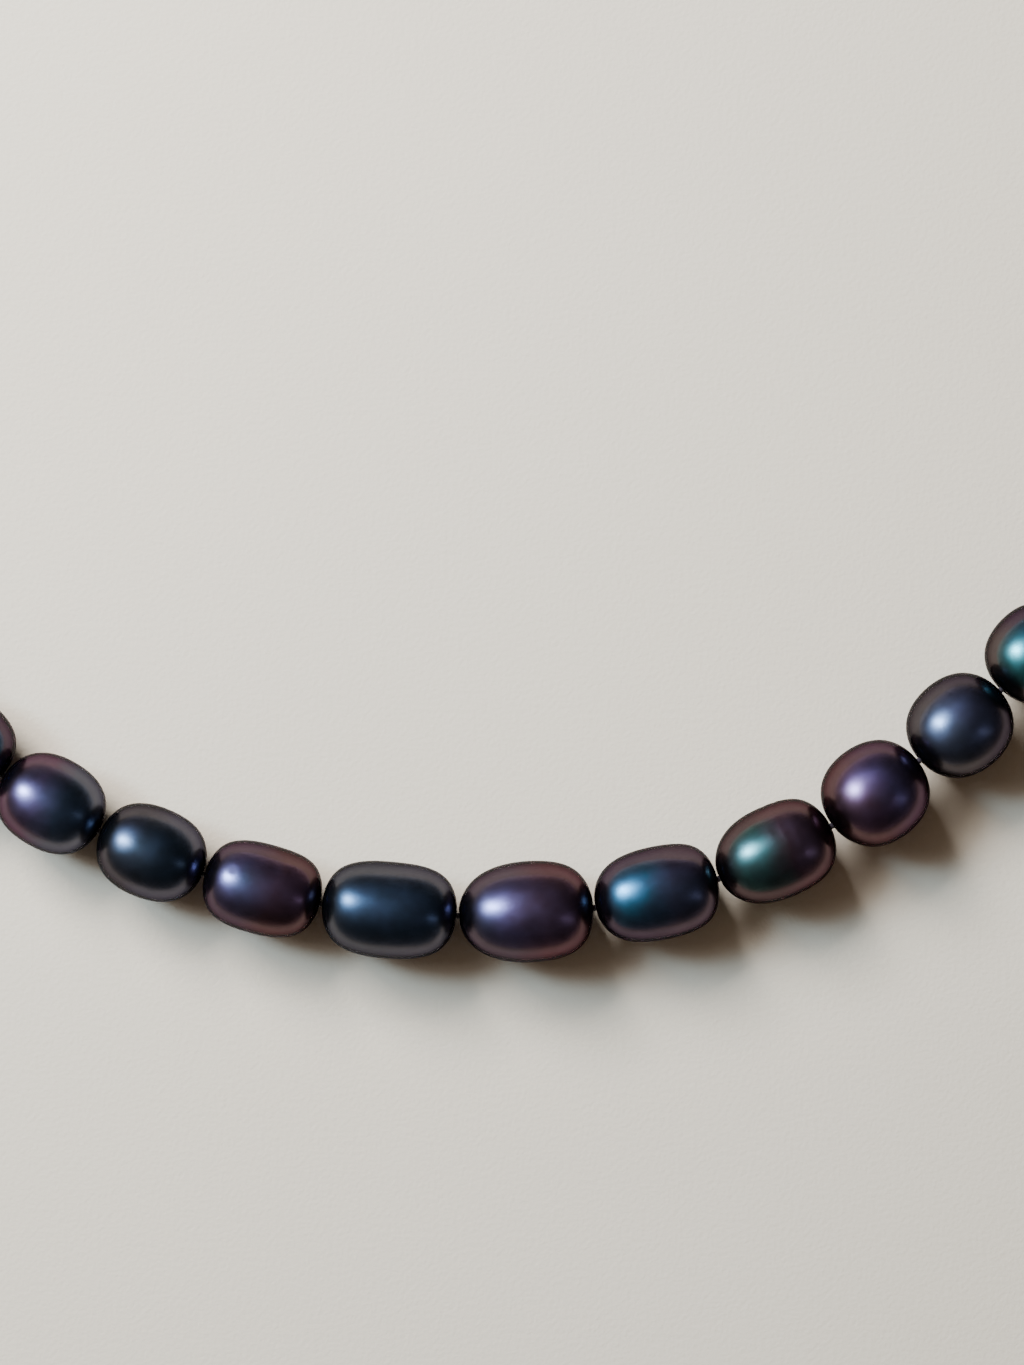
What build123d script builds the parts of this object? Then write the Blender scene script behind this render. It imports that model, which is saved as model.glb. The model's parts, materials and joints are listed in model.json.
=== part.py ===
from build123d import *

import os
from math import acos, atan2, cos, degrees, hypot, pi, radians, sin, sqrt, tan

# A single strand of dark oval, barrel and near-round freshwater pearls on one thread, laid down flat in a
# ring with its clasp undone. Millimetres, +Z up, z = 0 is the table under the pearls, -Y is the front.
# Pearls count from the clasp end on the left (-X), round the front, to the ring end on the right.

# ---- Pearls and thread ----
thread_diameter = 0.50
bore_clearance = 0.15    # thread to the wall of a pearl's drilled hole
thread_clearance = 0.05  # thread to a fitting's wall, and half the gap between its two runs
tip_gap = 0.15           # free thread between two pearls, tip to tip
front_pearl = 21         # the pearl that hangs lowest when worn
thread_bend = 12.0       # bend radius of the thread between two pearls
fitting_bend = 5.0       # bend radius of the thread between an end pearl and its crimp
crimp_bend = 1.5         # bend radius where the two runs part beyond the crimp

# Outline of each kind of pearl: how flat and how full-shouldered its left end is, the same for its right
# end (0.55 and 0.55 are an ellipse, more is flatter or fuller), and where along its length it is widest.
PEARL_KINDS = {
    "oval": ((0.74, 0.56), (0.74, 0.56), 0.50),
    "round": ((0.70, 0.55), (0.70, 0.55), 0.50),
    "egg": ((0.72, 0.54), (0.78, 0.60), 0.54),
    "drop": ((0.78, 0.60), (0.68, 0.52), 0.44),
    "barrel": ((0.82, 0.64), (0.82, 0.64), 0.50),
    "blunt": ((0.76, 0.58), (0.82, 0.65), 0.52),
}

# Kind, length along the thread and greatest diameter of each pearl, from pearl 1 to pearl 42.
PEARLS = (
    ("oval", 8.4, 7.2), ("oval", 8.8, 7.4), ("egg", 9.0, 7.5), ("barrel", 9.4, 7.4), ("oval", 9.2, 7.6),
    ("drop", 9.6, 7.7), ("oval", 9.0, 7.8), ("barrel", 10.0, 7.6), ("oval", 9.4, 7.8), ("round", 8.6, 8.0),
    ("egg", 9.8, 7.9), ("barrel", 10.4, 7.8), ("oval", 9.2, 7.9), ("drop", 9.6, 8.0), ("oval", 9.4, 7.8),
    ("egg", 9.5, 7.9), ("oval", 9.0, 7.9), ("oval", 9.1, 7.8), ("barrel", 9.8, 7.7), ("barrel", 11.1, 8.1),
    ("egg", 11.1, 8.5), ("blunt", 10.3, 7.9), ("egg", 10.1, 7.9), ("round", 8.8, 8.6), ("round", 8.7, 8.4),
    ("round", 8.2, 8.0), ("oval", 9.2, 7.9), ("barrel", 10.2, 7.9), ("egg", 9.6, 8.0), ("oval", 9.4, 7.8),
    ("drop", 9.2, 7.9), ("barrel", 10.2, 7.7), ("oval", 9.4, 7.8), ("round", 8.5, 7.9), ("egg", 9.6, 7.7),
    ("oval", 9.2, 7.6), ("barrel", 9.8, 7.5), ("oval", 9.0, 7.6), ("drop", 9.2, 7.5), ("oval", 9.0, 7.4),
    ("egg", 8.8, 7.3), ("oval", 8.4, 7.2),
)

# How far the strand lies outside (+) or inside (-) its even oval at the joints beside the front pearls.
# The key counts joints from the front pearl's own two: 1 is its right end, -1 its left end.
LAY_OFFSETS = {-5: 0.3, -3: -0.2, -2: -0.3, -1: -0.3, 1: 0.1, 2: 0.5, 3: 0.4, 4: -0.2, 5: -0.2}

# ---- End fittings: crimp tube, its ball cover and the wire guard that the thread turns round ----
crimp_wall = 0.22
crimp_length = 1.90
cover_diameter = 3.20
cover_wall = 0.25
cover_slit = 0.14
cover_clearance = 0.10   # crimp cover to the junction plane beside the end pearl
guard_bend_radius = 1.10
guard_splay = 25.0       # angle of each guard leg to the strand, degrees
guard_wall = 0.10
guard_standoff = 0.45    # crimp cover to the start of the guard's legs
guard_corner_slack = 0.03

# ---- Rings ----
ring_wire = 0.80
jump_ring_mean = 3.40    # mean diameter of the split ring that carries the clasp
end_ring_mean = 4.20     # mean diameter of the closed ring that the clasp hooks into
ring_clearance = 0.18    # wire to wire where two links meet
ring_slit = 0.10

# ---- Lobster clasp, x from the centre of its eye to its nose, y across, z through ----
eye_bore = 1.50
eye_wall = 0.70
eye_thickness = 1.30
eye_round = 0.35
neck_width = 1.80
neck_overlap = 1.00      # neck's reach into the shell
shell_thickness = 2.80
shell_half_width = 3.10
shell_half_length = 5.20
shell_start = 1.50       # tail end of the shell from the centre of the eye
opening_half_length = 3.10
opening_half_width = 1.80
opening_shift = 0.70     # opening's centre ahead of the shell's centre
shell_round = 0.90
lever_thickness = 2.20
lever_round = 0.45
lever_reach = 6.40       # rivet to the tip of the gate
lever_travel = 18.0      # how far the gate swings in, degrees
lever_clearance = 0.15
gate_low = -6.0          # directions of the gate's two flanks seen from the rivet, degrees
gate_high = 72.0
flank_clearance = 4.0    # degrees
root_reach = 2.60        # rivet to the far side of the cut that the gate's root swings into
rivet_x = 3.70
rivet_y = 0.90
rivet_diameter = 0.80
rivet_head = 1.20
rivet_head_height = 0.18
rivet_clearance = 0.05
boss_radius = 0.90
cheek_radius = 1.30
tongue_thickness = 1.00
spring_strip = 0.18
spring_gap = 0.07
spring_width = 0.80
spring_start = 8.0       # strip's near end from the gate's flank, degrees
spring_sweep = 160.0
nub_radius = 0.75
nub_thickness = 1.50
nub_setback = 0.30       # nub to the cheeks, along the clasp
nub_sink = 0.35          # nub's centre below the shell's widest line
lever_inset = 0.10       # gate's outer side below the shell's

# ---- Lay of the strand ----
lay_oval = 2.4           # how far the oval stands out at front and back, and in at the sides
lay_turn = 4.7           # front pearl's place right of the very front, degrees
nose_gap = 1.20          # claw nose to the end ring in the undone clasp
clasp_height = 1.50      # height of the claw's middle at its nose

UP = Vector(0, 0, 1)
pearl_count = len(PEARLS)
thread_radius = thread_diameter / 2
bore_diameter = thread_diameter + 2 * bore_clearance
strand_spacing = thread_diameter + 2 * thread_clearance  # the two thread runs, centre to centre
crimp_bore = strand_spacing + thread_diameter + 2 * thread_clearance
guard_bore = thread_diameter + 2 * thread_clearance
guard_tube = guard_bore + 2 * guard_wall
crimp_axis = strand_spacing / 2
cover_centre = cover_clearance + cover_diameter / 2
crimp_exit = cover_clearance + cover_diameter
guard_corner_turn = 90 + guard_splay
guard_half_height = guard_bend_radius * tan(radians(guard_corner_turn / 2)) + guard_corner_slack
guard_apex = crimp_exit + (guard_half_height - crimp_axis) / tan(radians(guard_splay))
guard_inner_apex = guard_apex - guard_tube / 2
ring_seat = guard_inner_apex - ring_clearance - ring_wire / 2
fitting_length = hypot(ring_seat, crimp_axis)
fitting_yaw = degrees(atan2(crimp_axis, ring_seat))
clasp_length = shell_start + 2 * shell_half_length
shell_centre = shell_start + shell_half_length
opening_centre = shell_centre + opening_shift
end_ring_span = end_ring_mean + ring_wire / 2


def pearl_name(number):
    return f"pearl_{number:02d}"


def pearl_radius(number):
    return PEARLS[number - 1][2] / 2


# ---------------------------------------------------------------------------
# The line of the strand: where each joint between two links lies
# ---------------------------------------------------------------------------

def junction_heights():
    """Height of each thread joint: between two pearls it is the mean of their radii, so both lie down."""
    inner = [(pearl_radius(k) + pearl_radius(k + 1)) / 2 for k in range(1, pearl_count)]
    return [pearl_radius(1)] + inner + [pearl_radius(pearl_count)]


def strand_links():
    """Links from the clasp's nose to the end ring: slanted length, height at start and height at end."""
    heights = junction_heights()
    jump_height = (jump_ring_mean + ring_wire) / 2
    end_height = (end_ring_mean + ring_wire) / 2
    links = [
        (clasp_length, clasp_height, jump_height),
        (jump_ring_mean, jump_height, jump_height),
        (fitting_length, jump_height, heights[0]),
    ]
    for number in range(1, pearl_count + 1):
        spacing = PEARLS[number - 1][1] + tip_gap
        links.append((spacing, heights[number - 1], heights[number]))
    links.append((fitting_length, heights[-1], end_height))
    links.append((end_ring_span, end_height, end_height))
    return links


LINKS = strand_links()
FIRST_PEARL_LINK = 3
FRONT_LINK = FIRST_PEARL_LINK + front_pearl - 1


def even_turn(station):
    """Direction of a station from the middle of the ring, as it would be on a circle."""
    lengths = [link[0] for link in LINKS]
    passed = sum(lengths[:station]) - sum(lengths[:FRONT_LINK]) - lengths[FRONT_LINK] / 2
    return radians(lay_turn) + 2 * pi * passed / (sum(lengths) + nose_gap)


def lay_offset(station):
    """Offset from the circle at a station; station FRONT_LINK is the front pearl's left end."""
    step = station - FRONT_LINK
    own = LAY_OFFSETS.get(step if step > 0 else step - 1, 0.0)
    return own + lay_oval * cos(2 * even_turn(station))


def chord_angle(link, radius):
    """Angle that one link takes up at the centre of the ring."""
    slant, start, end = LINKS[link]
    flat = sqrt(slant**2 - (end - start) ** 2)
    near = radius + lay_offset(link)
    far = radius + lay_offset(link + 1)
    return acos((near**2 + far**2 - flat**2) / (2 * near * far))


def closing_angle(radius):
    """Angle left between the clasp's nose and the end ring, less the gap that belongs there."""
    used = sum(chord_angle(link, radius) for link in range(len(LINKS)))
    return 2 * pi - used - nose_gap / radius


def ring_radius():
    """Radius of the ring at which all links and the gap close it, by halving."""
    low = 0.6 * sum(link[0] for link in LINKS) / (2 * pi)
    high = 3 * low
    for _ in range(60):
        middle = (low + high) / 2
        if closing_angle(middle) < 0:
            low = middle
        else:
            high = middle
    return (low + high) / 2


def strand_stations():
    """Points of the strand in order from the clasp's nose to the far side of the end ring."""
    radius = ring_radius()
    angles = [0.0]
    for link in range(len(LINKS)):
        angles.append(angles[-1] + chord_angle(link, radius))
    middle = (angles[FRONT_LINK] + angles[FRONT_LINK + 1]) / 2
    heights = [link[1] for link in LINKS] + [LINKS[-1][2]]
    points = []
    for station, angle in enumerate(angles):
        reach = radius + lay_offset(station)
        turn = angle - middle + radians(lay_turn)
        points.append(Vector(reach * sin(turn), -reach * cos(turn), heights[station]))
    return points


def fitting_plane(start, end, side):
    """Frame of an end fitting: the crimp stands to one side of the bore, the ring seat lies on the link."""
    return link_plane(start, end).rotated((0, 0, -side * fitting_yaw))


def link_plane(start, end):
    """Frame at the start of a link: x along it, y level and to its left, z up."""
    along = (end - start).normalized()
    side = UP.cross(along).normalized()
    return Plane(origin=start, x_dir=along, z_dir=along.cross(side))


# ---------------------------------------------------------------------------
# Pearls and thread
# ---------------------------------------------------------------------------

def pearl_solid(kind, length, diameter):
    """Drilled pearl with its left tip at the origin and its bore along x."""
    (left_flat, left_shoulder), (right_flat, right_shoulder), widest_share = PEARL_KINDS[kind]
    radius = diameter / 2
    widest = widest_share * length
    left_side = widest * (1 - left_shoulder)
    right_side = widest + (length - widest) * right_shoulder
    left = Bezier((0, 0), (0, left_flat * radius), (left_side, radius), (widest, radius))
    right = Bezier((widest, radius), (right_side, radius), (length, right_flat * radius), (length, 0))
    section = make_face([left, right, Line((length, 0), (0, 0))])
    drilled = section - Pos(length / 2, 0) * Rectangle(2 * length, bore_diameter)
    return revolve(drilled, Axis.X, 360)


def pearl_in_place(number, stations):
    kind, length, diameter = PEARLS[number - 1]
    link = FIRST_PEARL_LINK + number - 1
    frame = link_plane(stations[link], stations[link + 1])
    return frame.location * Pos(tip_gap / 2, 0, 0) * pearl_solid(kind, length, diameter)


def fitting_route():
    """Thread route in a fitting: out of the crimp, round the guard and back into the crimp."""
    low = crimp_axis - guard_half_height
    high = crimp_axis + guard_half_height
    crimp_end = cover_centre - crimp_length / 2
    return [
        Vector(crimp_exit, 0, 0),
        Vector(guard_apex, low, 0),
        Vector(guard_apex, high, 0),
        Vector(crimp_exit, strand_spacing, 0),
        Vector(crimp_end, strand_spacing, 0),
    ]


def rounded_route(points, radii):
    """Straight runs joined by tangent arcs, one radius for each inner point."""
    edges = []
    start = points[0]
    for index, radius in enumerate(radii, start=1):
        corner = points[index]
        before = (corner - points[index - 1]).normalized()
        after = (points[index + 1] - corner).normalized()
        turn = radians(before.get_angle(after))
        reach = radius * tan(turn / 2)
        arc_start = corner - before * reach
        arc_end = corner + after * reach
        inward = (after - before).normalized()
        arc_middle = corner + inward * radius * (1 / cos(turn / 2) - 1)
        edges.append(Edge.make_line(start, arc_start))
        edges.append(Edge.make_three_point_arc(arc_start, arc_middle, arc_end))
        start = arc_end
    edges.append(Edge.make_line(start, points[-1]))
    return Wire(edges)


def thread_route(left_frame, right_frame, joints):
    """Whole route from the cut end in the left crimp to the cut end in the right crimp."""
    local = fitting_route()
    fitting_radii = [crimp_bend, guard_bend_radius, guard_bend_radius, crimp_bend]
    mirrored = [Vector(p.X, -p.Y, p.Z) for p in local]
    left = [left_frame.from_local_coords(p) for p in reversed(mirrored)]
    right = [right_frame.from_local_coords(p) for p in local]
    joint_radii = [fitting_bend] + [thread_bend] * (len(joints) - 2) + [fitting_bend]
    return rounded_route(left + joints + right, fitting_radii + joint_radii + fitting_radii)


def tube_along(route, diameter):
    start = Plane(origin=route @ 0, z_dir=route % 0)
    return sweep(start * Circle(diameter / 2), path=route)


# ---------------------------------------------------------------------------
# End fittings, in the frame of the link that leads away from the end pearl
# ---------------------------------------------------------------------------

def crimp_tube(side):
    ring = Circle(crimp_bore / 2 + crimp_wall) - Circle(crimp_bore / 2)
    tube = extrude(Plane.YZ * ring, crimp_length)
    return Pos(cover_centre - crimp_length / 2, side * crimp_axis, 0) * tube


def crimp_cover(side):
    """Hollow ball with a hole at each end for the thread and one slit where it is pressed shut."""
    ball = Sphere(cover_diameter / 2) - Sphere(cover_diameter / 2 - cover_wall)
    hole = Rot(0, 90, 0) * Cylinder(crimp_bore / 2, 2 * cover_diameter)
    slit = Pos(0, 0, -cover_diameter / 2) * Box(2 * cover_diameter, cover_slit, cover_diameter)
    return Pos(cover_centre, side * crimp_axis, 0) * (ball - hole - slit)


def wire_guard(side):
    """Bent tube that the thread runs through, so that the ring doesn't chafe it."""
    low = Vector(guard_apex, crimp_axis - guard_half_height, 0)
    high = Vector(guard_apex, crimp_axis + guard_half_height, 0)
    share = guard_standoff / (guard_apex - crimp_exit)
    leg_start = Vector(crimp_exit, 0, 0) * (1 - share) + low * share
    leg_end = Vector(crimp_exit, strand_spacing, 0) * (1 - share) + high * share
    route = rounded_route([leg_start, low, high, leg_end], [guard_bend_radius] * 2)
    guard = tube_along(route, guard_tube) - tube_along(route, guard_bore)
    if side < 0:
        guard = mirror(guard, about=Plane.XZ)
    return guard


def upright_ring(mean_diameter):
    """Round-wire ring standing in the x-z plane, its near wire at the origin."""
    return Pos(mean_diameter / 2, 0, 0) * Rot(90, 0, 0) * Torus(mean_diameter / 2, ring_wire / 2)


def split_ring(mean_diameter):
    slit = Pos(mean_diameter / 2, 0, mean_diameter / 2) * Box(ring_slit, 2 * ring_wire, 2 * ring_wire)
    return upright_ring(mean_diameter) - slit


# ---------------------------------------------------------------------------
# Lobster clasp, in the frame of its own link
# ---------------------------------------------------------------------------

def rounded_slab(outline, thickness, edge_round):
    slab = extrude(outline, thickness / 2, both=True)
    return fillet(slab.edges().filter_by(Axis.Z, reverse=True), edge_round)


def sector(from_angle, to_angle):
    """Wedge seen from the rivet, between two directions in degrees."""
    far = 3 * lever_reach
    steps = 4
    points = [(0, 0)]
    for step in range(steps + 1):
        angle = radians(from_angle + (to_angle - from_angle) * step / steps)
        points.append((far * cos(angle), far * sin(angle)))
    return Pos(rivet_x, rivet_y) * Polygon(*points, align=None)


def at_rivet(radius):
    return Pos(rivet_x, rivet_y) * Circle(radius)


def both_ways(outline, thickness):
    return extrude(outline, thickness / 2, both=True)


def clasp_ring():
    """Closed oval of the claw before the gate is cut out of it."""
    shell = Pos(shell_centre, 0) * rounded_slab(
        Ellipse(shell_half_length, shell_half_width), shell_thickness, shell_round
    )
    opening = Pos(opening_centre, 0) * Ellipse(opening_half_length, opening_half_width)
    return shell - both_ways(opening, 2 * shell_thickness)


def clasp_body():
    neck_length = shell_start + neck_overlap
    neck = Pos(neck_length / 2, 0) * Rectangle(neck_length, neck_width)
    tail = rounded_slab(Circle(eye_bore / 2 + eye_wall) + neck, eye_thickness, eye_round)
    tail = tail - both_ways(Circle(eye_bore / 2), 2 * eye_thickness)
    cut_low = gate_low - flank_clearance
    cut_high = gate_high + flank_clearance
    gate_cut = sector(cut_low, cut_high) & at_rivet(lever_reach + lever_clearance)
    root_cut = sector(cut_low - lever_travel, cut_high) & at_rivet(root_reach)
    gate_cut = gate_cut + root_cut
    spring_room = boss_radius + spring_gap + spring_strip + spring_gap
    slot_thickness = tongue_thickness + 2 * lever_clearance
    cheeks = both_ways(at_rivet(cheek_radius), shell_thickness) & clasp_ring()
    body = tail + (clasp_ring() - both_ways(gate_cut, 2 * shell_thickness) + cheeks)
    slot = both_ways(gate_cut, slot_thickness) + both_ways(at_rivet(spring_room), slot_thickness)
    return body - slot - both_ways(at_rivet(rivet_diameter / 2), 2 * shell_thickness)


def clasp_lever():
    """Gate with its tongue between the body's cheeks and a thumb nub on its outer side."""
    gate = sector(gate_low, gate_high) & at_rivet(lever_reach)
    band = Pos(shell_centre, 0) * rounded_slab(
        Ellipse(shell_half_length, shell_half_width - lever_inset), lever_thickness, lever_round
    )
    opening = Pos(opening_centre, 0) * Ellipse(opening_half_length, opening_half_width)
    arm = band & both_ways(gate - at_rivet(cheek_radius + lever_clearance), lever_thickness)
    tongue = band & both_ways(gate, tongue_thickness)
    boss = both_ways(at_rivet(boss_radius), tongue_thickness)
    nub_x = rivet_x + cheek_radius + lever_clearance + nub_radius + nub_setback
    nub = Pos(nub_x, shell_half_width - nub_sink, 0) * Cylinder(nub_radius, nub_thickness)
    lever = arm + tongue + boss + nub
    lever = lever - both_ways(opening, 2 * shell_thickness)
    return lever - both_ways(at_rivet(rivet_diameter / 2 + rivet_clearance), 2 * shell_thickness)


def clasp_rivet():
    """Pin through both cheeks, with a low head on each side."""
    pin = both_ways(at_rivet(rivet_diameter / 2), shell_thickness)
    head = Pos(rivet_x, rivet_y, 0) * Cylinder(rivet_head / 2, rivet_head_height)
    rise = (shell_thickness + rivet_head_height) / 2
    return pin + Pos(0, 0, rise) * head + Pos(0, 0, -rise) * head


def lever_spring():
    """Bent strip round the boss, from the slot's wall to the root of the gate."""
    inner = boss_radius + spring_gap
    strip = at_rivet(inner + spring_strip) - at_rivet(inner)
    near_end = gate_high + spring_start
    return both_ways(strip & sector(near_end, near_end + spring_sweep), spring_width)


# ---------------------------------------------------------------------------
# Putting the strand together
# ---------------------------------------------------------------------------

def build_nodes():
    stations = strand_stations()
    joints = stations[FIRST_PEARL_LINK : FIRST_PEARL_LINK + pearl_count + 1]
    left_frame = fitting_plane(joints[0], stations[FIRST_PEARL_LINK - 1], -1)
    right_frame = fitting_plane(joints[-1], stations[FIRST_PEARL_LINK + pearl_count + 1], 1)
    jump_frame = link_plane(stations[2], stations[1])
    clasp_frame = link_plane(stations[1], stations[0])
    end_frame = link_plane(stations[-2], stations[-1])

    nodes = {}
    for number in range(1, pearl_count + 1):
        nodes[pearl_name(number)] = pearl_in_place(number, stations)
    route = thread_route(left_frame, right_frame, joints)
    nodes["bead_thread"] = tube_along(route, thread_diameter)
    for name, frame, side in (("left", left_frame, -1), ("right", right_frame, 1)):
        place = frame.location
        nodes[f"crimp_tube_{name}"] = place * crimp_tube(side)
        nodes[f"crimp_cover_{name}"] = place * crimp_cover(side)
        nodes[f"wire_guard_{name}"] = place * wire_guard(side)
    nodes["jump_ring"] = jump_frame.location * split_ring(jump_ring_mean)
    nodes["end_ring"] = end_frame.location * upright_ring(end_ring_mean)
    for name, make in (
        ("clasp_body", clasp_body),
        ("clasp_lever", clasp_lever),
        ("clasp_rivet", clasp_rivet),
        ("lever_spring", lever_spring),
    ):
        nodes[name] = clasp_frame.location * make()
    return nodes, route, stations


def settle(nodes):
    """Shift that puts the origin under the middle of the strand, on the table."""
    boxes = [shape.bounding_box() for shape in nodes.values()]
    low_x = min(box.min.X for box in boxes)
    high_x = max(box.max.X for box in boxes)
    low_y = min(box.min.Y for box in boxes)
    high_y = max(box.max.Y for box in boxes)
    low_z = min(box.min.Z for box in boxes)
    return Vector(-(low_x + high_x) / 2, -(low_y + high_y) / 2, -low_z)


NODES, THREAD_ROUTE, STATIONS = build_nodes()
SHIFT = settle(NODES)

if __name__ == "__main__":
    os.makedirs("parts", exist_ok=True)
    for name, shape in NODES.items():
        export_step(Pos(*SHIFT) * shape, f"parts/{name}.step")
    section = pi * thread_radius**2
    print("nodes", len(NODES), "ring radius", round(ring_radius(), 2), "shift", SHIFT)
    print("thread length", round(THREAD_ROUTE.length, 2))
    filled = NODES["bead_thread"].volume / (section * THREAD_ROUTE.length)
    print("thread volume over section x length", round(filled, 4))
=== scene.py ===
import json
import random
from math import atan2, ceil, cos, exp, pi, radians, sin, tan

import bmesh
import bpy
from mathutils import Matrix, Vector, geometry, noise

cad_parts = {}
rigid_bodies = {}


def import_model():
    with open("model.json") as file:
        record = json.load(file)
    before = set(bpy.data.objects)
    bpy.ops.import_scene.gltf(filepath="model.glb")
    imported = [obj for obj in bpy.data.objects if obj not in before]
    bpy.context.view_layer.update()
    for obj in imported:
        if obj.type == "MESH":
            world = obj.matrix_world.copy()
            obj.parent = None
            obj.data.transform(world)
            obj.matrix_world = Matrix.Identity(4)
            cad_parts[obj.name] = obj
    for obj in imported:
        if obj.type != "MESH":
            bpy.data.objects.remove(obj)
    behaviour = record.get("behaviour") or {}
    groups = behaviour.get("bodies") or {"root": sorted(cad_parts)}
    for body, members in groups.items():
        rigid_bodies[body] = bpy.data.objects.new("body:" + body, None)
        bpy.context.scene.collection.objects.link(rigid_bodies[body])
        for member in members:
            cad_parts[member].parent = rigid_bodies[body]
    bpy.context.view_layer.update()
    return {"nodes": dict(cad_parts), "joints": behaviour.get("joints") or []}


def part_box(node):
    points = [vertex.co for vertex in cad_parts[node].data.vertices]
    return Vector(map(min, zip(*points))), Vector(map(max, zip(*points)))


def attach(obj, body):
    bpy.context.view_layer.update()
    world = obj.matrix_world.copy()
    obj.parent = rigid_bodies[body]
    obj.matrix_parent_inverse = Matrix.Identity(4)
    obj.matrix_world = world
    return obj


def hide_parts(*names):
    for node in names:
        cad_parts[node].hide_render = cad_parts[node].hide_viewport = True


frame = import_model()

# A strand of dark dyed freshwater pearls, laid down flat with its clasp undone. Metres, +Z up, z = 0 is
# the table. Pearls and threads are shaped in millimetres along their own x, and the strand's joints give
# their places. The fittings, rings and clasp keep their CAD shapes.
MM = 0.001
UP = Vector((0, 0, 1))

# ---------------------------------------------------------------------------
# Sizes, in millimetres
# ---------------------------------------------------------------------------
TIP_GAP = 0.15            # free thread between two pearls, tip to tip
BORE_RADIUS = 0.40
BORE_CHAMFER = 0.09       # worn edge round each drilled hole
THREAD_RADIUS = 0.25
THREAD_STEPS = 20         # faces round the thread
BEND_STEP = radians(12)   # turn of each short length round a bend
MERGE = 0.001             # points nearer than this are one
RUN_SPACING = 0.60        # between the two runs of thread in a crimp
CRIMP_AXIS = 0.30         # a crimp stands this far to one side of the first run
CRIMP_END = 0.75          # where the thread is cut off inside its crimp
CRIMP_EXIT = 3.30         # where the two runs part for the wire guard
CRIMP_BEND = 1.5
GUARD_BEND = 1.10
GUARD_SPLAY = 25.0        # angle of each guard leg to the strand, degrees
GUARD_CORNER_SLACK = 0.03
GUARD_TUBE = 0.80
RING_WIRE = 0.80
RING_CLEARANCE = 0.18     # ring's wire to the guard
GUARD_HALF_HEIGHT = GUARD_BEND * tan(radians(90 + GUARD_SPLAY) / 2) + GUARD_CORNER_SLACK
GUARD_APEX = CRIMP_EXIT + (GUARD_HALF_HEIGHT - CRIMP_AXIS) / tan(radians(GUARD_SPLAY))
RING_SEAT = GUARD_APEX - GUARD_TUBE / 2 - RING_CLEARANCE - RING_WIRE / 2
FITTING_YAW = atan2(CRIMP_AXIS, RING_SEAT)
PEARL_STEPS = 72          # faces round a pearl
OUTLINE_STEPS = 26        # points along each half of a pearl's outline

# How flat and how full-shouldered a pearl's left end is, the same for its right end (0.55 and 0.55 are
# an ellipse, more is flatter or fuller), and where along its length it is widest.
PEARL_SHAPES = {
    "oval": ((0.74, 0.56), (0.74, 0.56), 0.50),
    "round": ((0.70, 0.55), (0.70, 0.55), 0.50),
    "egg": ((0.72, 0.54), (0.78, 0.60), 0.54),
    "drop": ((0.78, 0.60), (0.68, 0.52), 0.44),
    "barrel": ((0.82, 0.64), (0.82, 0.64), 0.50),
    "blunt": ((0.76, 0.58), (0.82, 0.65), 0.52),
}

# Shape and dye of each pearl, from pearl 1 at the clasp to pearl 42 at the end ring.
PEARLS = (
    ("oval", "violet"), ("oval", "slate"), ("egg", "charcoal"), ("barrel", "aubergine"),
    ("oval", "blue_green"), ("drop", "teal"), ("oval", "slate"), ("barrel", "aubergine"),
    ("oval", "charcoal"), ("round", "blue_green"), ("egg", "slate"), ("barrel", "violet"),
    ("oval", "teal"), ("drop", "aubergine"), ("oval", "teal"), ("egg", "blue_green"),
    ("oval", "violet"), ("oval", "charcoal"), ("barrel", "aubergine"), ("barrel", "slate"),
    ("egg", "aubergine"), ("blunt", "blue_green"), ("egg", "teal"), ("round", "aubergine"),
    ("round", "charcoal"), ("round", "teal"), ("oval", "slate"), ("barrel", "blue_green"),
    ("egg", "aubergine"), ("oval", "violet"), ("drop", "teal"), ("barrel", "slate"),
    ("oval", "charcoal"), ("round", "teal"), ("egg", "aubergine"), ("oval", "blue_green"),
    ("barrel", "teal"), ("oval", "slate"), ("drop", "charcoal"), ("oval", "aubergine"),
    ("egg", "violet"), ("oval", "teal"),
)
PEARL_COUNT = len(PEARLS)


def pearl_body(number):
    return f"pearl_{number:02d}"


# ---------------------------------------------------------------------------
# Places: the strand's joints
# ---------------------------------------------------------------------------
PIVOTS = {frozenset((j["parent"], j["child"])): Vector(j["pos_m"]) for j in frame["joints"]}
STRAND = ["fitting_left"] + [pearl_body(n + 1) for n in range(PEARL_COUNT)] + ["fitting_right"]


def pivot(one, other):
    return PIVOTS[frozenset((one, other))]


def ends_of(number):
    """The joints at a pearl's left and right end."""
    before, own, after = STRAND[number - 1:number + 2]
    return pivot(before, own), pivot(own, after)


def along_frame(start, end):
    """Matrix from lengths along a link, level across it and up, to the row's frame."""
    along = (end - start).normalized()
    side = UP.cross(along).normalized()
    rise = along.cross(side)
    turn = Matrix((along, side, rise)).transposed().to_4x4()
    return Matrix.Translation(start) @ turn


# ---------------------------------------------------------------------------
# Node helpers
# ---------------------------------------------------------------------------

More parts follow.
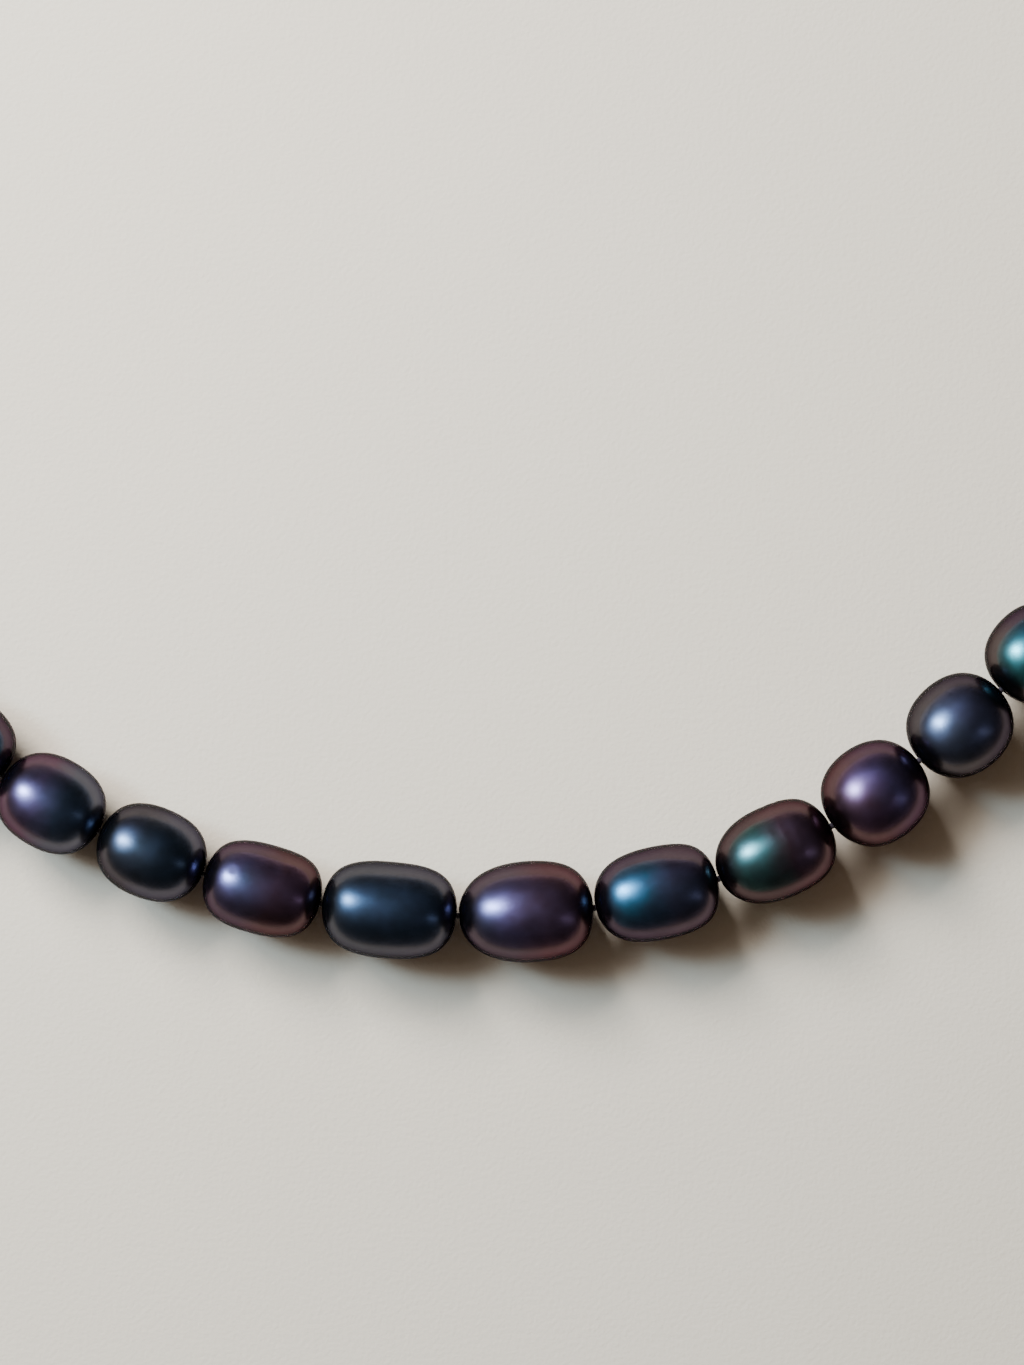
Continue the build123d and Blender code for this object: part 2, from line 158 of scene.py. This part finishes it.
class Nodes:
    """A material's node tree with short calls to add and join nodes."""

    def __init__(self, name):
        self.material = bpy.data.materials.new(name)
        self.material.use_nodes = True
        self.tree = self.material.node_tree
        self.shader = self.tree.nodes["Principled BSDF"]

    def add(self, kind, inputs=None, **settings):
        node = self.tree.nodes.new(kind)
        for key, value in settings.items():
            setattr(node, key, value)
        for key, value in (inputs or {}).items():
            self.feed(node, key, value)
        return node

    def feed(self, node, key, value):
        if isinstance(value, bpy.types.NodeSocket):
            self.tree.links.new(value, node.inputs[key])
        else:
            node.inputs[key].default_value = value

    def set(self, **values):
        """Principled sockets, by their names with _ for a space."""
        for key, value in values.items():
            self.feed(self.shader, key.replace("_", " "), value)

    def noise(self, where, scale, detail=3.0):
        inputs = {"Vector": where, "Scale": scale, "Detail": detail}
        return self.add("ShaderNodeTexNoise", inputs).outputs["Fac"]

    def mix(self, factor, one, other):
        node = self.add("ShaderNodeMix", data_type="RGBA")
        self.feed(node, 0, factor)
        self.feed(node, 6, one if isinstance(one, bpy.types.NodeSocket) else (*one, 1.0))
        self.feed(node, 7, other if isinstance(other, bpy.types.NodeSocket) else (*other, 1.0))
        return node.outputs[2]

    def math(self, operation, one, other):
        node = self.add("ShaderNodeMath", operation=operation)
        self.feed(node, 0, one)
        self.feed(node, 1, other)
        return node.outputs[0]

    def range(self, value, low, high, new_low, new_high):
        inputs = {"Value": value, "From Min": low, "From Max": high}
        inputs.update({"To Min": new_low, "To Max": new_high})
        return self.add("ShaderNodeMapRange", inputs).outputs["Result"]

    def bump(self, height, distance):
        inputs = {"Height": height, "Distance": distance}
        return self.add("ShaderNodeBump", inputs).outputs["Normal"]


# ---------------------------------------------------------------------------
# Materials
# ---------------------------------------------------------------------------

# Each dye: what the nacre throws back head-on, its darker patches, and what it throws back at its rim.
DYES = {
    "violet": ((0.22, 0.165, 0.38), (0.10, 0.12, 0.20), (0.100, 0.068, 0.090)),
    "charcoal": ((0.165, 0.185, 0.33), (0.08, 0.10, 0.14), (0.074, 0.064, 0.076)),
    "aubergine": ((0.24, 0.145, 0.28), (0.17, 0.085, 0.10), (0.098, 0.058, 0.066)),
    "slate": ((0.105, 0.140, 0.26), (0.06, 0.085, 0.13), (0.084, 0.080, 0.104)),
    "blue_green": ((0.06, 0.29, 0.42), (0.08, 0.10, 0.21), (0.078, 0.052, 0.075)),
    "teal": ((0.08, 0.38, 0.39), (0.09, 0.13, 0.15), (0.085, 0.062, 0.068)),
}

# Pearls whose overtone changes from one end to the other.
TWO_TONED = {
    17: ("violet", "slate"), 18: ("charcoal", "slate"), 19: ("violet", "aubergine"),
    21: ("violet", "aubergine"), 22: ("blue_green", "violet"), 23: ("teal", "aubergine"),
    24: ("aubergine", "violet"), 26: ("teal", "blue_green"), 5: ("teal", "violet"),
    10: ("blue_green", "slate"), 14: ("aubergine", "charcoal"), 28: ("blue_green", "aubergine"),
    31: ("teal", "violet"), 35: ("violet", "aubergine"), 39: ("charcoal", "blue_green"),
}


TONE_CHANGE = (0.42, 0.68)    # where the change starts and ends, as shares of the length
TONE_WANDER = 3.0             # millimetres that the change wanders round the pearl
TONE_SHIFT = 1.0              # makes up for the wander's mean, millimetres
WANDER_SCALE = 0.35           # this and the next scales are per millimetre
PATCH_SCALE = 0.16
LUSTRE_SCALE = 0.8
GRAIN_SCALE = 2.5
GRAIN_HEIGHT = 0.0000006
PATCH_STRENGTH = 0.8
RIM_FACING = (0.09, 0.34)     # where the rim's tone starts and is full, from 0 head-on to 1 edge-on
NACRE_ROUGHNESS = (0.29, 0.37)
GRAZING_TINT = (0.20, 0.17, 0.19, 1.0)


def tinted(colour, shade):
    """One dye lot is never quite like the next."""
    lift = shade.uniform(0.88, 1.10)
    return tuple(c * lift * shade.uniform(0.94, 1.06) for c in colour)


def nacre(number, dye, length):
    """Dyed nacre: a dark soft mirror, its overtone patchy and turning mauve towards the rim."""
    shade = random.Random(number)
    left, right = TWO_TONED.get(number, (dye, dye))
    m = Nodes(f"nacre_{number:02d}")
    own = m.add("ShaderNodeAttribute", attribute_name="pearl_place").outputs["Vector"]
    seed = (number * 11.3, number * 7.1, number * 5.7)
    place = m.add("ShaderNodeMapping", {"Vector": own, "Location": seed}).outputs["Vector"]
    along = m.add("ShaderNodeSeparateXYZ", {"Vector": own}).outputs["X"]
    wander = m.math("MULTIPLY", m.noise(place, WANDER_SCALE, 2.0), TONE_WANDER)
    turn_start, turn_end = (share * length + TONE_SHIFT for share in TONE_CHANGE)
    toned = m.range(m.math("ADD", along, wander), turn_start, turn_end, 0.0, 1.0)
    patches = m.range(m.noise(place, PATCH_SCALE, 2.0), 0.40, 0.64, 0.0, PATCH_STRENGTH)
    tones = []
    for layer in range(3):
        one, other = tinted(DYES[left][layer], shade), tinted(DYES[right][layer], shade)
        tones.append(m.mix(toned, one, other))
    head_on = m.mix(patches, tones[0], tones[1])
    facing = m.add("ShaderNodeLayerWeight", {"Blend": 0.5}).outputs["Facing"]
    colour = m.mix(m.range(facing, *RIM_FACING, 0.0, 1.0), head_on, tones[2])
    grain = m.noise(place, GRAIN_SCALE, 2.0)
    lustre = m.noise(place, LUSTRE_SCALE, 3.0)
    m.set(
        Base_Color=colour,
        Metallic=1.0,
        Specular_Tint=GRAZING_TINT,
        Roughness=m.range(lustre, 0.3, 0.7, *NACRE_ROUGHNESS),
        Coat_Weight=0.12,
        Coat_Roughness=0.14,
        Coat_IOR=1.5,
        Normal=m.bump(grain, GRAIN_HEIGHT),
    )
    return m.material


TARNISH = (0.42, 0.36, 0.29)
SCRATCH_SCALE = (9000, 900, 5000)


def silver(name, tint, roughness):
    """Polished silver with hairline scratches and a little tarnish."""
    m = Nodes(name)
    place = m.add("ShaderNodeTexCoord").outputs["Object"]
    cloud = m.noise(place, 700.0, 4.0)
    drawn_out = m.add("ShaderNodeMapping", {"Vector": place, "Scale": SCRATCH_SCALE}).outputs["Vector"]
    scratches = m.noise(drawn_out, 1.0, 2.0)
    tarnish = m.range(cloud, 0.55, 0.75, 0.0, 0.35)
    m.set(
        Base_Color=m.mix(tarnish, tint, TARNISH),
        Metallic=1.0,
        Roughness=m.range(scratches, 0.3, 0.7, roughness, roughness + 0.12),
        Normal=m.bump(scratches, 0.000006),
    )
    return m.material


def steel():
    m = Nodes("spring_steel")
    place = m.add("ShaderNodeTexCoord").outputs["Object"]
    m.set(
        Base_Color=(0.50, 0.51, 0.53, 1.0),
        Metallic=1.0,
        Roughness=m.range(m.noise(place, 4000.0, 3.0), 0.3, 0.7, 0.25, 0.42),
    )
    return m.material


def silk():
    """Dark silk with a fine fibre."""
    m = Nodes("silk_thread")
    place = m.add("ShaderNodeTexCoord").outputs["Object"]
    fibre = m.noise(place, 9000.0, 4.0)
    m.set(
        Base_Color=m.mix(fibre, (0.010, 0.009, 0.014), (0.045, 0.04, 0.055)),
        Roughness=0.7,
        Sheen_Weight=0.4,
        Sheen_Roughness=0.4,
        Normal=m.bump(fibre, 0.00003),
    )
    return m.material


def table():
    m = Nodes("cream_table")
    place = m.add("ShaderNodeTexCoord").outputs["Object"]
    cloud = m.noise(place, 9.0, 3.0)
    fine = m.noise(place, 2500.0, 3.0)
    m.set(
        Base_Color=m.mix(cloud, (0.385, 0.345, 0.293), (0.42, 0.38, 0.327)),
        Roughness=0.75,
        Specular_IOR_Level=0.2,
        Normal=m.bump(fine, 0.00004),
    )
    return m.material


# ---------------------------------------------------------------------------
# Mesh helpers
# ---------------------------------------------------------------------------

def piece(name, bm, place, material, body, replaces=()):
    """Finishes a bmesh as an object at the origin, in place, riding on a body."""
    bmesh.ops.transform(bm, matrix=place, verts=bm.verts)
    mesh = bpy.data.meshes.new(name)
    for face in bm.faces:
        face.smooth = True
    bm.to_mesh(mesh)
    bm.free()
    mesh.materials.append(material)
    thing = bpy.data.objects.new(name, mesh)
    bpy.context.scene.collection.objects.link(thing)
    if body:
        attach(thing, body)
    if replaces:
        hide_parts(*replaces)
    return thing


# ---------------------------------------------------------------------------
# Pearls
# ---------------------------------------------------------------------------

def outline(shape, length, radius):
    """A pearl's lengthways outline, from the lip of one drilled hole to the lip of the other."""
    (left_flat, left_shoulder), (right_flat, right_shoulder), widest_share = PEARL_SHAPES[shape]
    widest = widest_share * length
    left_side = widest * (1 - left_shoulder)
    right_side = widest + (length - widest) * right_shoulder
    left = geometry.interpolate_bezier(
        Vector((0, 0)), Vector((0, left_flat * radius)), Vector((left_side, radius)),
        Vector((widest, radius)), OUTLINE_STEPS,
    )
    right = geometry.interpolate_bezier(
        Vector((widest, radius)), Vector((right_side, radius)), Vector((length, right_flat * radius)),
        Vector((length, 0)), OUTLINE_STEPS,
    )
    skin = [p for p in left + right[1:] if p.y > BORE_RADIUS + BORE_CHAMFER]
    first, last = skin[0], skin[-1]
    left_lip = Vector((first.x + BORE_CHAMFER, BORE_RADIUS))
    right_lip = Vector((last.x - BORE_CHAMFER, BORE_RADIUS))
    return [left_lip] + skin + [right_lip]


LUMP_SCALE = 0.20         # per millimetre
LUMP_DEPTH = 0.13
RIPPLE_SCALE = 0.50
RIPPLE_DEPTH = 0.022
RING_WAVE = 0.25          # how far a growth ring strays from an even circle

# Growth rings: place as a share of the pearl's length, depth and half-width in millimetres.
GROWTH_RINGS = {
    23: ((0.56, 0.060, 0.10), (0.66, 0.025, 0.12)), 4: ((0.35, 0.04, 0.14),), 12: ((0.62, 0.05, 0.12),),
    28: ((0.40, 0.05, 0.12), (0.66, 0.02, 0.14)), 37: ((0.55, 0.05, 0.12),), 8: ((0.70, 0.04, 0.12),),
}
# Pits: place as a share of the length, turn round the pearl from its top in degrees, depth, half-width.
PITS = {
    19: ((0.235, 20, 0.09, 0.24), (0.72, 38, 0.06, 0.20)), 24: ((0.80, 60, 0.05, 0.20),),
    2: ((0.6, -30, 0.08, 0.24),), 9: ((0.3, 70, 0.08, 0.24),), 33: ((0.7, 10, 0.08, 0.24),),
}
# A shallow dip in the skin: place as a share of the length, turn from the top, depth, reach.
DIPS = {22: (0.80, 62, 0.17, 1.5), 19: (0.62, 75, 0.10, 1.8), 17: (0.25, 40, 0.10, 1.6)}


def on_skin(share, turn, length, radius):
    """A point just over the pearl's widest skin at a place along it and round it."""
    across = radians(turn)
    return Vector((share * length, radius * sin(across), radius * cos(across)))


def hollow(point, centre, depth, width):
    return depth * exp(-((point - centre).length_squared / width**2))


def sunk_below(point, number, length, radius):
    """How far the skin lies below the even outline: lumps, ripples, growth rings, pits and dips."""
    shift = Vector((number * 3.17, number * 1.71, number * 2.39))
    broad = 0.5 - 0.5 * noise.noise(point * LUMP_SCALE + shift)
    ripple = 0.5 - 0.5 * noise.noise(point * RIPPLE_SCALE - shift)
    sunk = LUMP_DEPTH * broad + RIPPLE_DEPTH * ripple
    for share, depth, width in GROWTH_RINGS.get(number, ()):
        wave = RING_WAVE * noise.noise(point * 0.3 + shift)
        sunk += depth * exp(-(((point.x - share * length - wave) / width) ** 2))
    for share, turn, depth, width in PITS.get(number, ()):
        sunk += hollow(point, on_skin(share, turn, length, radius * 0.97), depth, width)
    if number in DIPS:
        share, turn, depth, reach = DIPS[number]
        sunk += hollow(point, on_skin(share, turn, length, radius), depth, reach)
    return sunk


def make_pearl(number):
    shape, dye = PEARLS[number - 1]
    body = pearl_body(number)
    start, end = ends_of(number)
    low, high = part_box(body)
    length = (end - start).length / MM - TIP_GAP
    radius = (high.z - low.z) / 2 / MM
    bm = bmesh.new()
    points = [bm.verts.new((p.x, 0, p.y)) for p in outline(shape, length, radius)]
    edges = [bm.edges.new(pair) for pair in zip(points, points[1:] + points[:1])]
    bmesh.ops.spin(
        bm, geom=points + edges, cent=(0, 0, 0), axis=(1, 0, 0), angle=2 * pi,
        steps=PEARL_STEPS, use_merge=True,
    )
    bmesh.ops.recalc_face_normals(bm, faces=bm.faces)
    bm.normal_update()
    for vert in bm.verts:
        from_axis = Vector((0, vert.co.y, vert.co.z)).length
        if from_axis > BORE_RADIUS + 0.5 * BORE_CHAMFER:
            fade = min(1.0, (from_axis - BORE_RADIUS) / radius * 2)
            vert.co -= vert.normal * sunk_below(vert.co, number, length, radius) * fade
    place_layer = bm.verts.layers.float_vector.new("pearl_place")
    for vert in bm.verts:
        vert[place_layer] = vert.co
    place = along_frame(start, end) @ Matrix.Scale(MM, 4) @ Matrix.Translation((TIP_GAP / 2, 0, 0))
    piece(f"{body}_nacre", bm, place, nacre(number, dye, length), body, [body])


for number in range(1, PEARL_COUNT + 1):
    make_pearl(number)


# ---------------------------------------------------------------------------
# Thread: one length in each pearl, so that the strand bends at its joints
# ---------------------------------------------------------------------------

SILK = silk()


def make_thread(name, start, end, body):
    """A round-ended length of thread from one joint to the next."""
    bm = bmesh.new()
    length = (end - start).length / MM
    cap = geometry.interpolate_bezier(
        Vector((-THREAD_RADIUS, 0)), Vector((-THREAD_RADIUS, 0.55 * THREAD_RADIUS)),
        Vector((-0.55 * THREAD_RADIUS, THREAD_RADIUS)), Vector((0, THREAD_RADIUS)), 6,
    )
    half = cap + [Vector((length - p.x, p.y)) for p in reversed(cap)]
    points = [bm.verts.new((p.x, 0, p.y)) for p in half]
    edges = [bm.edges.new(pair) for pair in zip(points, points[1:])]
    bmesh.ops.spin(
        bm, geom=points + edges, cent=(0, 0, 0), axis=(1, 0, 0), angle=2 * pi,
        steps=THREAD_STEPS, use_merge=True,
    )
    bmesh.ops.remove_doubles(bm, verts=bm.verts, dist=MERGE)
    bmesh.ops.recalc_face_normals(bm, faces=bm.faces)
    place = along_frame(start, end) @ Matrix.Scale(MM, 4)
    return piece(name, bm, place, SILK, body, ["bead_thread"])


for number in range(1, PEARL_COUNT + 1):
    make_thread(f"thread_in_{pearl_body(number)}", *ends_of(number), pearl_body(number))


def run_to(bm, ring, step):
    """Draws a ring of edges out along a straight run and returns its new end."""
    grown = bmesh.ops.extrude_edge_only(bm, edges=ring)["geom"]
    bmesh.ops.translate(bm, verts=[g for g in grown if isinstance(g, bmesh.types.BMVert)], vec=step)
    return [g for g in grown if isinstance(g, bmesh.types.BMEdge)]


def turn_to(bm, ring, centre, angle):
    """Bends a ring of edges round a centre and returns its new end."""
    turned = bmesh.ops.spin(
        bm, geom=ring, cent=centre, axis=UP, angle=angle, steps=ceil(abs(angle) / BEND_STEP),
    )["geom_last"]
    return [g for g in turned if isinstance(g, bmesh.types.BMEdge)]


def make_fitting_thread(body, pearl, ring_body, side):
    """The thread from the last pearl through the crimp, round the wire guard and back into the crimp."""
    start, end = pivot(pearl, body), pivot(body, ring_body)
    corners = (
        (0, 0), (CRIMP_EXIT, 0), (GUARD_APEX, CRIMP_AXIS - GUARD_HALF_HEIGHT),
        (GUARD_APEX, CRIMP_AXIS + GUARD_HALF_HEIGHT), (CRIMP_EXIT, RUN_SPACING), (CRIMP_END, RUN_SPACING),
    )
    bends = (CRIMP_BEND, GUARD_BEND, GUARD_BEND, CRIMP_BEND)
    route = [Vector((along, side * across, 0)) for along, across in corners]
    bm = bmesh.new()
    upright = Matrix.Rotation(pi / 2, 4, "Y")
    bmesh.ops.create_circle(bm, segments=THREAD_STEPS, radius=THREAD_RADIUS, matrix=upright)
    ring = bm.edges[:]
    here = route[0]
    for corner, after, bend in zip(route[1:], route[2:], bends):
        into = (corner - here).normalized()
        out = (after - corner).normalized()
        turn = into.angle(out)
        way = 1 if into.cross(out).z > 0 else -1
        bend_start = corner - into * bend * tan(turn / 2)
        ring = run_to(bm, ring, bend_start - here)
        ring = turn_to(bm, ring, bend_start + UP.cross(into) * way * bend, way * turn)
        here = corner + out * bend * tan(turn / 2)
    run_to(bm, ring, route[-1] - here)
    bmesh.ops.remove_doubles(bm, verts=bm.verts, dist=MERGE)
    bmesh.ops.holes_fill(bm, edges=bm.edges)
    bmesh.ops.recalc_face_normals(bm, faces=bm.faces)
    yaw = Matrix.Rotation(-side * FITTING_YAW, 4, "Z")
    place = along_frame(start, end) @ yaw @ Matrix.Scale(MM, 4)
    piece(f"thread_in_{body}", bm, place, SILK, body, ["bead_thread"])


make_fitting_thread("fitting_left", pearl_body(1), "jump_ring", -1)
make_fitting_thread("fitting_right", pearl_body(PEARL_COUNT), "end_ring", 1)


# ---------------------------------------------------------------------------
# Fittings, rings and clasp keep their CAD shapes
# ---------------------------------------------------------------------------

FINISHES = {
    silver("silver_fitting", (0.78, 0.76, 0.73), 0.14): [
        "crimp_cover_left", "crimp_cover_right", "crimp_tube_left", "crimp_tube_right",
        "wire_guard_left", "wire_guard_right",
    ],
    silver("silver_ring", (0.80, 0.78, 0.75), 0.12): ["jump_ring", "end_ring"],
    silver("silver_clasp", (0.77, 0.75, 0.72), 0.16): ["clasp_body", "clasp_lever", "clasp_rivet"],
    steel(): ["lever_spring"],
}
for material, nodes in FINISHES.items():
    for node in nodes:
        mesh = frame["nodes"][node].data
        mesh.materials.clear()
        mesh.materials.append(material)

# ---------------------------------------------------------------------------
# Table, light and camera
# ---------------------------------------------------------------------------

TABLE_REACH = 3.0         # middle of the table to its edges
bm = bmesh.new()
bmesh.ops.create_grid(bm, x_segments=2, y_segments=2, size=TABLE_REACH)
piece("table", bm, Matrix.Identity(4), table(), None)


# The middle of the camera's view and of the light, in front of the front pearl.
AIM = Vector((0.0047, -0.0512, 0.004))


def area_light(name, direction, distance, width, height, power, colour, lean=0.0):
    """A light that looks at the strand, or by lean at the table between the strand and its own foot."""
    light = bpy.data.lights.new(name, "AREA")
    light.shape = "RECTANGLE"
    light.size, light.size_y = width, height
    light.energy = power
    light.color = colour
    lamp = bpy.data.objects.new(name, light)
    where = Vector(direction).normalized() * distance + AIM
    foot = Vector((where.x, where.y, AIM.z))
    looking = AIM.lerp(foot, lean) - where
    lamp.matrix_world = Matrix.Translation(where) @ looking.to_track_quat("-Z", "Y").to_matrix().to_4x4()
    bpy.context.scene.collection.objects.link(lamp)
    return lamp


WINDOW = Vector((-0.66, 0.29, 0.69)).normalized()
SOFT_LIGHT_LEAN = 0.42
area_light("window", WINDOW, 0.50, 0.100, 0.140, 3.0, (0.55, 0.83, 1.0))
area_light("far_window", (0.73, -0.27, 0.63), 0.80, 0.08, 0.34, 0.10, (0.8, 0.88, 1.0))
# Lights for the table and the shadows only: direction, distance, width, height, watts and colour.
SOFT_LIGHTS = {
    "window_spill": (WINDOW, 0.38, 0.16, 0.20, 1.2, (1.0, 0.98, 0.94)),
    "high_soft_box": ((-0.46, 0.62, 0.62), 0.42, 0.19, 0.17, 7.8, (1.0, 0.97, 0.92)),
    "warm_soft_box": ((0.15, 0.0, 1.0), 0.45, 0.60, 0.60, 0.26, (1.0, 0.55, 0.22)),
}
for name, settings in SOFT_LIGHTS.items():
    area_light(name, *settings, lean=SOFT_LIGHT_LEAN).visible_glossy = False

# The room is lit by its window: brightest round it and dim on the far side. Each step is the cosine of
# the angle to the window, and the light from there.
ROOM_TINT = (1.0, 0.92, 0.82)
ROOM_LIGHT = ((-0.4, 0.02), (0.10, 0.045), (0.50, 0.08), (0.69, 0.14), (0.86, 0.27), (1.0, 0.7))
world = bpy.data.worlds.new("room")
bpy.context.scene.world = world
world.use_nodes = True
room = world.node_tree
looking = room.nodes.new("ShaderNodeTexCoord")
towards = room.nodes.new("ShaderNodeVectorMath")
towards.operation = "DOT_PRODUCT"
towards.inputs[1].default_value = WINDOW
room.links.new(looking.outputs["Generated"], towards.inputs[0])
share = room.nodes.new("ShaderNodeMapRange")
share.inputs["From Min"].default_value = -1.0
room.links.new(towards.outputs["Value"], share.inputs["Value"])
glow = room.nodes.new("ShaderNodeValToRGB")
room.links.new(share.outputs["Result"], glow.inputs["Fac"])
steps = glow.color_ramp.elements
while len(steps) < len(ROOM_LIGHT):
    steps.new(0.5)
for step, (cosine, light) in zip(steps, ROOM_LIGHT):
    step.position = (cosine + 1) / 2
    step.color = (*(light * part for part in ROOM_TINT), 1.0)
room.links.new(glow.outputs["Color"], room.nodes["Background"].inputs["Color"])

CAMERA_DISTANCE = 0.30
VIEW_WIDTH = 0.0841       # at AIM
camera_data = bpy.data.cameras.new("camera")
camera_data.sensor_fit = "HORIZONTAL"
camera_data.sensor_width = 36.0
camera_data.lens = camera_data.sensor_width * CAMERA_DISTANCE / VIEW_WIDTH
camera_data.clip_start = 0.01
camera = bpy.data.objects.new("camera", camera_data)
camera.matrix_world = Matrix.Translation(AIM + UP * CAMERA_DISTANCE)
bpy.context.scene.collection.objects.link(camera)
bpy.context.scene.camera = camera
